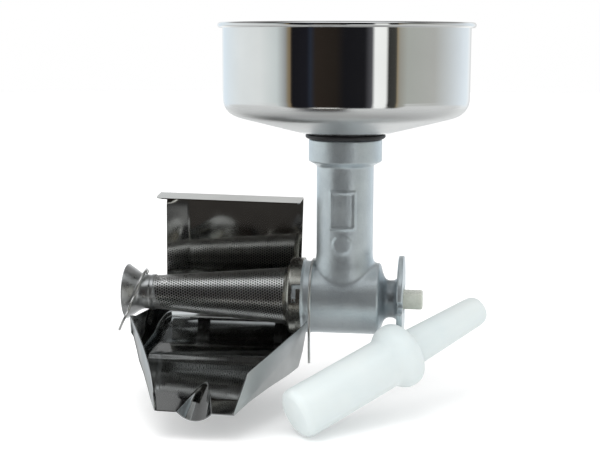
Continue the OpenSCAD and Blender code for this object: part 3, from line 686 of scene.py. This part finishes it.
def floor_z(x, y):
    xl = left_x(y) + 0.5
    w = lookup(y, turn_t)
    zl, zr = lookup(y, left_t), lookup(y, right_t)
    base = zl + (zr - zl) * (x - xl) / (right_x(y) - xl)
    q = min(1.0, max(0.0, (x - xl) / w))
    up = max(0.0, lookup(y, foot_t) - base) * (1 - q) ** 1.7
    # the bend where the trough rises behind the floor is rounded
    zt = -51.4 + 0.468 * (y + 46.4)
    d = base - zt
    base = 0.5 * (base + zt + sqrt(d * d + 0.5))
    return base + up - groove(x, y)


EN = (2732.1, -480.6, 1566.0)


def end_x(y, z):
    return -186.5 - (EN[1] * (y + 32) + EN[2] * (z + 15)) / EN[0]


def sheet_poly(plane, yz, t_in):
    """A flat plate: plane(y, z, depth) gives the point; depth 0 and t_in are its two faces."""
    n = len(yz)
    V = [M(*plane(y, z, 0)) for y, z in yz] + [M(*plane(y, z, t_in)) for y, z in yz]
    F = [tuple(range(n)), tuple(range(2 * n - 1, n - 1, -1))]
    for i in range(n):
        k = (i + 1) % n
        F.append((i, k, n + k, n + i))
    return V, F


def tray():
    # pan: trough rows from the back wall's top forward, then the floor down to the lip
    tr = [(p[0], p[1]) for p in spline([(a, b, 0) for a, b in reversed(trough[1:])], 2.0)]
    ys = [-37 - 9.4 * k / 7 for k in range(1, 8)]
    fl = [-46.4 - 85.0 * k / 76 for k in range(1, 77)]
    V, F = [], []
    cols = 0
    rows = 0
    g0, g1 = SPX - SPW / 2, SPX + SPW / 2

    def xs(a, b):
        return [a + (g0 - a) * i / 14 for i in range(14)] + [g0 + (g1 - g0) * i / 56 for i in range(56)] + [g1 + (b - g1) * i / 16 for i in range(17)]
    for y, z in tr:
        a = end_x(y, z) + 0.95
        b = -37.2 - 4.8 * (y + 47) / 91
        for x in xs(a, b):
            V.append(M(x, y, z))
        rows += 1
    for y in ys:
        k = (-37 - y) / 9.4
        a = (1 - k) * (end_x(y, -51.4 + 0.468 * (y + 46.4)) + 0.95) + k * (left_x(y) + 0.5 + lookup(y, turn_t))
        b = -37.2 - 4.8 * (y + 47) / 91
        for x in xs(a, b):
            V.append(M(x, y, floor_z(max(x, left_x(y) + 12.4), y)))
        rows += 1
    f0 = rows
    for y in fl:
        a = left_x(y) + 0.5 + lookup(y, turn_t)
        b = right_x(y)
        for x in xs(a, b):
            V.append(M(x, y, floor_z(x, y)))
        rows += 1
    cols = len(xs(-1, 1))
    for i in range(rows - 1):
        for j in range(cols - 1):
            F.append((i * cols + j, i * cols + j + 1, (i + 1) * cols + j + 1, (i + 1) * cols + j))
    # left turn-up, welded to the pan's left edge
    o = len(V)
    nc = 14
    fr = [ys[-1]] + fl
    for y in fr:
        xl = left_x(y) + 0.5
        w = lookup(y, turn_t)
        for j in range(nc):
            x = xl + w * j / (nc - 1)
            V.append(M(x, y, floor_z(x, y)))
    for i in range(len(fr) - 1):
        for j in range(nc - 1):
            F.append((o + i * nc + j, o + i * nc + j + 1, o + (i + 1) * nc + j + 1, o + (i + 1) * nc + j))
    pan = make("tray_pan_sheet", V, F, "tray_sheet", "tray", ["drip_tray", "tray_saddle_left"], angle=48, weld=2e-5)
    me = pan.data
    up = sum(p.normal.z * p.area for p in me.polygons)
    if up < 0:
        me.flip_normals()
    bake(pan, [("SOLIDIFY", dict(thickness=0.0009, offset=-1.0))])

    # front walls, left end plate
    def wall(side):
        ph = -side * CONV
        def f(y, z, h):
            yy = (y - WY) / cos(CONV)
            hh = -h if side > 0 else h
            return (TCX + side * HW + hh * cos(ph) - yy * sin(ph), WY + hh * sin(ph) + yy * cos(ph), z)
        return f
    ryz = [(-32, -14.7), (-38, -17.2), (-44, -19), (-58, -23), (-85, -31), (-110, -38.1), (-113, -39.2), (-114.6, -41.2), (-131.2, -66.6), (-131.6, -67.8)]
    ryz += [(p[0] - 0.2, p[1] - TS - 0.1) for p in right_t] + [(-39, -40), (-35, -27)]
    lyz = [(-32, -14.7), (-46, -17.2), (-60, -20), (-75, -23.4), (-90, -27), (-101, -31), (-110, -35.5), (-116, -40.3), (-120, -45), (-127, -53.5), (-130.6, -60), (-131.6, -65.5)]
    lyz += [(p[0] - 0.2, p[1] - TS - 0.1) for p in foot_t] + [(-38, -22), (-32, -18.5)]
    for nm, side, yz in (("tray_wall_right", 1, ryz), ("tray_wall_left", -1, lyz)):
        v, f = sheet_poly(wall(side), yz, TS)
        wob = bake(make(nm, v, f, "tray_sheet", "tray", angle=30), [("BEVEL", dict(width=0.00022, segments=2, limit_method="ANGLE", angle_limit=radians(40)))])
        wob.data.materials.append(MAT["tray_satin"])
        for q in wob.data.polygons:
            if q.normal.x * side > 0.3:
                q.material_index = 1
    eyz = [(-45.4, -26.3), (-40, -21.6), (-32.4, -15.4), (-29, -15.4), (-24, -17), (8, -17), (24, -13.4), (41.5, -8)]
    eyz += [(p[0] + (0.6 if i < 3 else 0.0), p[1] - (0.0 if i < 3 else 0.6)) for i, p in enumerate(reversed(trough[1:-1]))] + [(-45.6, -51)]
    v, f = sheet_poly(lambda y, z, h: (end_x(y, z) + 0.1 + h, y, z), eyz, TS)
    bake(make("tray_end_plate", v, f, "tray_sheet", "tray", angle=30), [("BEVEL", dict(width=0.0002, segments=2, limit_method="ANGLE", angle_limit=radians(40)))])
    # weld fillet: right wall to floor
    V, F = [], []
    r = 1.7
    m = 7
    st = [-45.0 - 86.0 * k / 40 for k in range(41)]
    for y in st:
        xr = right_x(y) - 0.35
        zf = floor_z(xr, y)
        for k in range(m - 1):
            a = radians(90 * k / (m - 2))
            V.append(M(xr - r + r * sin(a), y, zf + r - r * cos(a) + 0.02))
        V.append(M(xr + 0.25, y, zf - 0.3))
    for i in range(len(st) - 1):
        for j in range(m):
            k = (j + 1) % m
            F.append((i * m + j, i * m + k, (i + 1) * m + k, (i + 1) * m + j))
    F.append(tuple(range(m)))
    F.append(tuple((len(st) - 1) * m + j for j in range(m)))
    bake(make("tray_fillet_right", V, F, "tray_sheet", "tray", angle=60))


tray()
paint(N["tray_saddle_right"], "tray_sheet")


# ---------------------------------------------------------------- splash guard
def guard():
    gy, r = 39.6, 2.2
    lean = radians(15.0)                                                # the wall leans forward above the clips
    zb, zt = -5.0, 85.5                                                 # bend above the clips, top of the wall
    lw = (zt - zb) / cos(lean)
    wy, cy, cz = gy - lw * sin(lean), 0.0, 0.0
    cy, cz = wy - r * cos(lean), zt - r * sin(lean)                     # centre of the top bend
    rows = [("w", -12.0), ("w", -9.0), ("w", -6.6), ("w", -5.6)] + [("s", lw * k / 26) for k in range(27)]
    rows += [("b", degrees(lean) + (93.0 - degrees(lean)) * k / 8) for k in range(1, 9)]     # bend
    rows += [("l", 27.5 * k / 14) for k in range(1, 15)]               # lip
    V, F = [], []
    # columns: the strip at the left edge is bent forward 4 mm with a soft bend line
    us = [0.0, 0.03, 0.06, 0.09, 0.12, 0.145, 0.155, 0.165, 0.172, 0.179, 0.19, 0.20] + [0.20 + 0.80 * i / 48 for i in range(1, 49)]
    nx = len(us) - 1
    y93, z93 = cy + r * cos(radians(93)), cz + r * sin(radians(93))
    for kind, t in rows:
        for u in us:
            g = 1.0
            if kind == "w":
                y, z, e, g = gy, t, 0.0, 0.0
            elif kind == "s":
                y, z, e = gy - t * sin(lean), zb + t * cos(lean), 0.0
                g = t / lw
            elif kind == "b":
                y, z = cy + r * cos(radians(t)), cz + r * sin(radians(t))
                e = max(0.0, (t - 45) / 48)
            else:
                y, z = y93 - t * cos(radians(3)), z93 - t * sin(radians(3))
                e = 1.0
            f = min(1.0, (z + 12) / 96)
            xl, xr = -169.4 + 0.6 * f + 6.3 * g, -44.4 + 2.6 * f + 3.3 * g
            q = wy + 0.3 - y
            lipl = lookup(q, [(0, -168.0), (25.6, -166.4), (29.0, -162.2), (30.2, -159.6)])
            lipr = lookup(q, [(0, -38.3), (28.2, -38.3), (30.2, -40.1)])
            xl = xl * (1 - e) + lipl * e
            xr = xr * (1 - e) + lipr * e
            x = xl + (xr - xl) * u
            d = -x - 147.0 + 4.4 * g
            wing = 0.0 if d < -1.2 else (4.0 / 25.0) * ((d + 1.2) ** 2 / 4.8 if d < 1.2 else d)
            if kind in "ws":
                fade = min(1.0, max(0.0, (zt - z) / 8.0))
                y -= wing * (0.25 + 0.75 * fade)
            elif kind == "b":
                y -= wing * 0.25 * (1 - e)
            top = max(0.0, (z - 60) / (zt - 60)) if kind in "ws" else 1.0
            V.append(M(x, y, z - (x + 104) * sin(radians(1.0)) * top))
    c = nx + 1
    for i in range(len(rows) - 1):
        for j in range(nx):
            F.append((i * c + j, i * c + j + 1, (i + 1) * c + j + 1, (i + 1) * c + j))
    ob = make("splash_guard_sheet", V, F, "guard_sheet", "guard", ["splash_guard"], angle=48)
    me = ob.data
    # front face looks to -Y: thickness goes to the back
    f = me.polygons[8 * nx + 30]
    if f.normal.y > 0:
        me.flip_normals()
    bake(ob, [("SOLIDIFY", dict(thickness=0.0009, offset=-1.0))])


guard()


# ---------------------------------------------------------------- wire latches
def wires():
    x, r, ey, ez, w = -27.4, 33.4, 37.0, -4.0, 1.2
    pts = [(x, ey, ez - 0.8), (x, ey, 1), (x, ey - 1.6, 6)] + [(x, r * cos(radians(a)), r * sin(radians(a))) for a in range(20, 189, 12)]
    pts += [(x + 0.3, -33.6, -8), (x + 0.5, -35.6, -15), (x + 0.7, -38.4, -19.5), (x + 0.8, -39.2, -25), (x + 0.9, -38.6, -49.5)]
    a = tube(spline(pts, 1.6), w)
    b = tube([(-32.6, ey, ez), (-30, ey, ez), (x + 0.2, ey, ez)], w)
    v, f = joined(a, b)
    bake(make("latch_wire_right", v, f, "wire", "right_latch", ["right_wire_latch"], angle=50))
    lean, r, x = radians(17), 19.2, -185.8
    pts = [(x, 26, ez - 0.8), (x, 26, 4), (x, 25.4, 13.4), (x + 1.2, 20.6, 16.2)]
    pts += [(-179.5 - (r - r * sin(radians(q))) * tan(lean), r * cos(radians(q)), r * sin(radians(q))) for q in range(58, 179, 15)]
    pts += [(-187.6, -24.4, -6), (-189.4, -27.4, -12.5), (-190.6, -30.8, -16), (-192.4, -31.8, -19.4), (-196.6, -30.4, -28.2)]
    a = tube(spline(pts, 1.2), w)
    b = tube([(x - 1.2, 26, ez), (x + 2, 26, ez), (-180.6, 26, ez)], w)
    v, f = joined(a, b)
    bake(make("latch_wire_left", v, f, "wire", "left_latch", ["left_wire_latch"], angle=50))


wires()


# ---------------------------------------------------------------- pestle
def pestle():
    raw = [(0.01, 0.0), (15.6, 0.0), (17.2, 0.3), (18.9, 1.3), (20.3, 2.8), (20.95, 4.4), (21.2, 6.4), (21.2, 30), (21.2, 60), (21.2, 86), (21.2, 92.0),
           (21.55, 94.2), (22.7, 96.5), (24.4, 98.8), (26.1, 101.3), (27.3, 104.0), (27.8, 106.8), (27.85, 109.4), (27.6, 112), (26.8, 114.3), (25.4, 116.2), (23.2, 117.8),
           (20.5, 119.0), (18, 119.8), (16.6, 120.8), (15.9, 122.4), (15.6, 128), (14.8, 150), (13.9, 175), (13.25, 192), (13.0, 195.4), (12.1, 198.5), (10.4, 200.9),
           (8.0, 202.2), (5.0, 202.7), (0.01, 202.7)]
    prof = [raw[0]]
    sp = spline([(a, b, 0) for a, b in raw[1:-1]], 1.4)
    prof += [(p[0], p[1]) for p in sp] + [raw[-1]]
    az, tl = radians(39.64), radians(71.28)
    ex = Vector((cos(tl) * cos(az), cos(tl) * sin(az), -sin(tl)))
    ey = Vector((-sin(az), cos(az), 0))
    ez = Vector((sin(tl) * cos(az), sin(tl) * sin(az), cos(tl)))
    base = Vector((-28.66, -114.94, -72.63))
    seg = 144
    V, F = [], []
    n = len(prof)
    for i in range(seg):
        a = 2 * pi * i / seg
        for r, t in prof:
            q = base + ez * t + (ex * cos(a) + ey * sin(a)) * r
            V.append(M(*q))
    for i in range(seg):
        k = (i + 1) % seg
        for j in range(n - 1):
            F.append((i * n + j, i * n + j + 1, k * n + j + 1, k * n + j))
    F.append(tuple(i * n for i in range(seg)))
    F.append(tuple(i * n + n - 1 for i in range(seg - 1, -1, -1)))
    bake(make("pestle_plastic", V, F, "pestle", "pusher", ["pestle"], angle=50))


pestle()

# ---------------------------------------------------------------- floor
zf = -0.0922
fm, fnt, fb = new_mat("floor_white")
fb.inputs["Base Color"].default_value = (0.95, 0.95, 0.95, 1)
fb.inputs["Roughness"].default_value = 0.6
fb.inputs["Emission Color"].default_value = (1, 1, 1, 1)
fb.inputs["Emission Strength"].default_value = 0.14


def disc(name, r0, r1, z, sx=1.0, cy=0.0, cx=-0.09):
    V, F = [], []
    seg = 96
    for i in range(seg):
        a = 2 * pi * i / seg
        V.append((cx + r0 * cos(a), cy + r0 * sin(a), z))
        V.append((cx + r1 * cos(a), cy + r1 * sin(a), z))
    for i in range(seg):
        k = (i + 1) % seg
        F.append((2 * i, 2 * i + 1, 2 * k + 1, 2 * k))
    if r0 < 1e-6:
        F = [tuple(2 * i + 1 for i in range(seg))]
    me = bpy.data.meshes.new(name)
    me.from_pydata(V, [], F)
    ob = bpy.data.objects.new(name, me)
    scene.collection.objects.link(ob)
    me.materials.append(fm)
    return ob


near = disc("floor_plane", 0.0, 6.0, zf, cy=0.02)
near.visible_glossy = False

# ---------------------------------------------------------------- light
w = bpy.data.worlds.new("studio")
scene.world = w
w.use_nodes = True
nt = w.node_tree
nt.nodes.clear()
L = nt.links
tc = nt.nodes.new("ShaderNodeTexCoord")
sep = nt.nodes.new("ShaderNodeSeparateXYZ")
L.new(tc.outputs["Generated"], sep.inputs[0])


def math_(op, a, b=None, clamp=False):
    n = nt.nodes.new("ShaderNodeMath")
    n.operation = op
    n.use_clamp = clamp
    for i, v in enumerate((a, b)):
        if v is None:
            continue
        if isinstance(v, (int, float)):
            n.inputs[i].default_value = v
        else:
            L.new(v, n.inputs[i])
    return n.outputs[0]


ny = math_("MULTIPLY", sep.outputs["Y"], -1.0)
az = math_("ARCTAN2", sep.outputs["X"], ny)                       # 0 towards -Y, positive towards +X
fac = math_("ADD", math_("DIVIDE", az, 2 * pi), 0.5)
el = math_("ARCSINE", sep.outputs["Z"])


def sa(d):
    return (d + 180.0) / 360.0


walls = ramp(nt, [(0.0, (0.74, 0.75, 0.75)), (sa(-169), (0.74, 0.75, 0.75)), (sa(-159), (0.93, 0.97, 1.0)), (sa(-148), (0.80, 0.90, 0.98)), (sa(-108), (0.83, 0.87, 0.88)), (sa(-80), (0.80, 0.83, 0.83)),
                  (sa(-60), (0.62, 0.67, 0.67)), (sa(-51), (0.32, 0.33, 0.33)), (sa(-48.6), (0.26, 0.22, 0.15)), (sa(-46.2), (0.21, 0.16, 0.10)),
                  (sa(-44.8), (0.010, 0.010, 0.012)), (sa(-30), (0.012, 0.012, 0.016)), (sa(-27), (0.022, 0.028, 0.042)), (sa(-22), (0.026, 0.020, 0.016)), (sa(-4), (0.020, 0.016, 0.013)), (sa(4), (0.010, 0.010, 0.012)),
                  (sa(22), (0.012, 0.012, 0.014)), (sa(28.5), (0.10, 0.10, 0.11)), (sa(31), (1.02, 1.03, 1.02)), (sa(41), (0.98, 0.99, 0.97)),
                  (sa(43.5), (0.04, 0.04, 0.038)), (sa(50.5), (0.055, 0.055, 0.05)), (sa(52), (0.30, 0.25, 0.17)), (sa(54), (0.34, 0.33, 0.29)),
                  (sa(62), (0.43, 0.445, 0.415)), (sa(92), (0.47, 0.475, 0.455)), (sa(138), (0.80, 0.87, 0.93)), (sa(152), (0.86, 0.94, 1.0)), (sa(159), (0.93, 0.97, 1.0)), (sa(169), (0.74, 0.75, 0.75)), (1.0, (0.74, 0.75, 0.75))])
L.new(fac, walls.inputs["Fac"])
# the ceiling by elevation: dark low down, a bright bank of lamps at 52 to 76 degrees, grey overhead
ceil = ramp(nt, [(0.0, (0.02, 0.02, 0.02)), (sa(40), (0.03, 0.03, 0.03)), (sa(50), (0.10, 0.10, 0.10)), (sa(55), (1.06, 1.09, 1.11)), (sa(73), (1.14, 1.17, 1.19)),
                 (sa(82), (0.50, 0.51, 0.52)), (sa(90), (0.40, 0.41, 0.42)), (1.0, (0.40, 0.41, 0.42))])
ceil_b = ramp(nt, [(0.0, (0.9, 0.9, 0.9)), (sa(14), (0.80, 0.81, 0.82)), (sa(30), (0.30, 0.30, 0.30)), (sa(60), (0.20, 0.20, 0.20)), (sa(80), (0.36, 0.37, 0.38)),
                   (sa(90), (0.40, 0.41, 0.42)), (1.0, (0.40, 0.41, 0.42))])
floor_c = ramp(nt, [(0.0, (0.26, 0.26, 0.26)), (sa(-80), (0.26, 0.26, 0.26)), (sa(-62), (0.40, 0.40, 0.40)), (sa(-45), (0.56, 0.57, 0.57)), (sa(-30), (0.64, 0.65, 0.65)),
                    (sa(-10), (0.70, 0.71, 0.71)), (1.0, (0.70, 0.71, 0.71))])
floor_b = ramp(nt, [(0.0, (0.26, 0.26, 0.26)), (sa(-80), (0.30, 0.30, 0.30)), (sa(-62), (0.60, 0.60, 0.60)), (sa(-45), (0.95, 0.96, 0.96)), (sa(-30), (1.10, 1.12, 1.12)),
                    (sa(-10), (1.05, 1.07, 1.07)), (1.0, (1.05, 1.07, 1.07))])
elf = math_("ADD", math_("DIVIDE", el, 2 * pi), 0.5)
for r_ in (ceil, ceil_b, floor_c, floor_b):
    L.new(elf, r_.inputs["Fac"])


def mix(f, a, b):
    m_ = nt.nodes.new("ShaderNodeMix")
    m_.data_type = "RGBA"
    L.new(f, m_.inputs[0])
    L.new(a, m_.inputs[6])
    L.new(b, m_.inputs[7])
    return m_.outputs[2]


# 1 in the dark front sector, 0 elsewhere
front = ramp(nt, [(0.0, (0, 0, 0)), (sa(-62), (0, 0, 0)), (sa(-48), (1, 1, 1)), (sa(50), (1, 1, 1)), (sa(62), (0, 0, 0)), (1.0, (0, 0, 0))])
L.new(fac, front.inputs["Fac"])
back = math_("DIVIDE", math_("ADD", sep.outputs["Y"], 0.15), 0.3, clamp=True)
ceil_all = mix(back, ceil.outputs["Color"], ceil_b.outputs["Color"])
up_f = math_("DIVIDE", math_("SUBTRACT", el, radians(16)), radians(10), clamp=True)
c1 = mix(up_f, walls.outputs["Color"], ceil_all)
# the table's edge stands lower in the dark sector
edge = math_("SUBTRACT", radians(-9), math_("MULTIPLY", front.outputs["Color"], radians(10)))
dn_f = math_("DIVIDE", math_("SUBTRACT", edge, el), radians(5), clamp=True)
# the unlit stretch of table straight in front
low = ramp(nt, [(0.0, (0, 0, 0)), (sa(-52), (0, 0, 0)), (sa(-38), (0.72, 0.72, 0.72)), (sa(-24), (0.95, 0.95, 0.95)), (sa(2), (0.95, 0.95, 0.95)), (sa(10), (0, 0, 0)), (1.0, (0, 0, 0))])
L.new(fac, low.inputs["Fac"])
low_f = math_("MULTIPLY", low.outputs["Color"], math_("DIVIDE", math_("ADD", el, radians(46)), radians(5), clamp=True))
dn_f = math_("MULTIPLY", dn_f, math_("SUBTRACT", 1.0, low_f))
# the white table straight behind the object is the best lit
far_f = math_("DIVIDE", math_("SUBTRACT", sep.outputs["Y"], 0.64), 0.24, clamp=True)
c2 = mix(dn_f, c1, mix(far_f, floor_c.outputs["Color"], floor_b.outputs["Color"]))
# the lit front edge of the table, a narrow line across the dark sector
rim_e = math_("SUBTRACT", 1.0, math_("DIVIDE", math_("ABSOLUTE", math_("ADD", el, radians(20.5))), radians(2.6)), clamp=True)
rim_a = ramp(nt, [(0.0, (0, 0, 0)), (sa(-30), (0, 0, 0)), (sa(-22), (1, 1, 1)), (sa(-2), (0.85, 0.85, 0.85)), (sa(4), (0, 0, 0)), (1.0, (0, 0, 0))])
L.new(fac, rim_a.inputs["Fac"])
rim_c = nt.nodes.new("ShaderNodeRGB")
rim_c.outputs[0].default_value = (1.7, 1.7, 1.62, 1.0)
c2 = mix(math_("MULTIPLY", rim_e, rim_a.outputs["Color"]), c2, rim_c.outputs[0])
bg_gloss = nt.nodes.new("ShaderNodeBackground")
L.new(c2, bg_gloss.inputs["Color"])
bg_gloss.inputs["Strength"].default_value = 1.0
# soft light from all round for matt surfaces, a little stronger from above
grad = ramp(nt, [(0.0, (0.62, 0.62, 0.62)), (0.45, (0.86, 0.86, 0.87)), (0.62, (1.0, 1.0, 1.0)), (1.0, (1.12, 1.12, 1.12))])
L.new(math_("MULTIPLY", math_("ADD", sep.outputs["Z"], 1.0), 0.5), grad.inputs["Fac"])
bg_diff = nt.nodes.new("ShaderNodeBackground")
L.new(grad.outputs["Color"], bg_diff.inputs["Color"])
bg_diff.inputs["Strength"].default_value = 1.0
bg_cam = nt.nodes.new("ShaderNodeBackground")
bg_cam.inputs["Color"].default_value = (1, 1, 1, 1)
lp = nt.nodes.new("ShaderNodeLightPath")
m1 = nt.nodes.new("ShaderNodeMixShader")
L.new(lp.outputs["Is Glossy Ray"], m1.inputs[0])
L.new(bg_diff.outputs[0], m1.inputs[1])
L.new(bg_gloss.outputs[0], m1.inputs[2])
m2 = nt.nodes.new("ShaderNodeMixShader")
L.new(lp.outputs["Is Camera Ray"], m2.inputs[0])
L.new(m1.outputs[0], m2.inputs[1])
L.new(bg_cam.outputs[0], m2.inputs[2])
wo = nt.nodes.new("ShaderNodeOutputWorld")
L.new(m2.outputs[0], wo.inputs["Surface"])


def area(name, loc, target, size, power, size_y=None, glossy=False):
    ld = bpy.data.lights.new(name, "AREA")
    ld.shape = "RECTANGLE"
    ld.size = size
    ld.size_y = size_y or size
    ld.energy = power
    ob = bpy.data.objects.new(name, ld)
    scene.collection.objects.link(ob)
    ob.location = loc
    d = Vector(target) - Vector(loc)
    ob.rotation_euler = d.to_track_quat("-Z", "Y").to_euler()
    ob.visible_glossy = glossy
    return ob


area("soft_top", (-0.3, -0.5, 1.5), (-0.08, 0, 0.05), 1.2, 9.0)
area("soft_left", (-1.4, -0.8, 0.7), (-0.08, 0, 0.05), 1.0, 3.0)

# ---------------------------------------------------------------- camera
cd = bpy.data.cameras.new("camera")
cam = bpy.data.objects.new("camera", cd)
scene.collection.objects.link(cam)
psi, pit, rol = radians(7.4), radians(9.07), radians(-0.12)
fwd = Vector((-cos(pit) * sin(psi), cos(pit) * cos(psi), -sin(pit)))
right = fwd.cross(Vector((0, 0, 1))).normalized()
up = right.cross(fwd)
r2 = right * cos(rol) - up * sin(rol)
u2 = right * sin(rol) + up * cos(rol)
mw = Matrix((r2, u2, -fwd)).transposed().to_4x4()
mw.translation = Vector((0.040056, -1.01855, 0.2280))
cam.matrix_world = mw
cd.sensor_width = 36.0
cd.sensor_fit = "HORIZONTAL"
cd.lens = 70.83
cd.clip_start = 0.01
scene.camera = cam
scene.view_settings.view_transform = "Standard"
scene.view_settings.look = "None"
